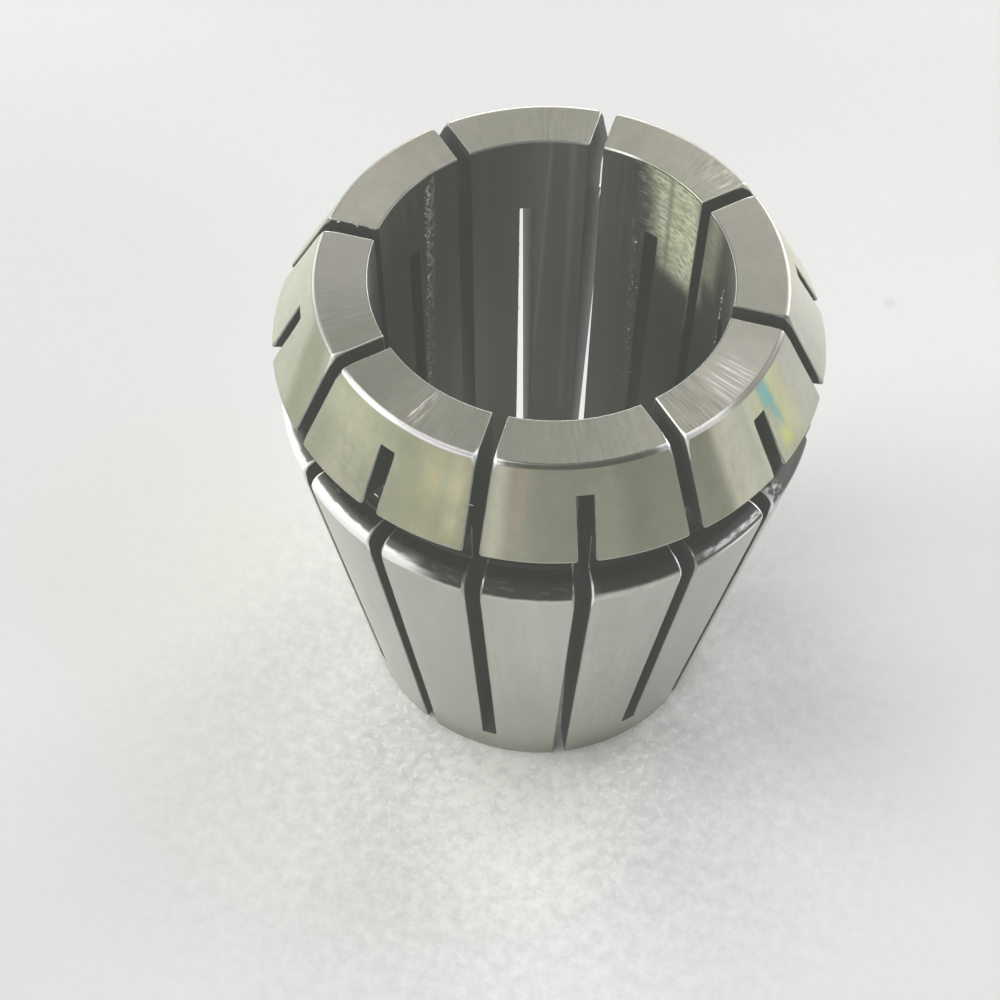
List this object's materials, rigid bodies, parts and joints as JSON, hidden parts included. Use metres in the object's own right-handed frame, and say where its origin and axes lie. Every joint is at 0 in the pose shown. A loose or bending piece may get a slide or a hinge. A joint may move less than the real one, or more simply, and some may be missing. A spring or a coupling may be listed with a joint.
{
  "type": "er collet",
  "caption": "Slotted spring collet in one piece: long seating taper, nut groove and nose cone round a straight through bore.",
  "frame": {"origin": "centre of the rear face, which the collet stands on", "axes": "+Z along the bore's axis towards the nose; +X through the middle of a front slot"},
  "size_m": [0.0408, 0.0408, 0.046],
  "materials": {
    "spring_steel": "hardened and ground, satin, with darker sawn slots"
  },
  "bodies": {
    "root": {"collet_body": "spring_steel"}
  },
  "joints": []
}
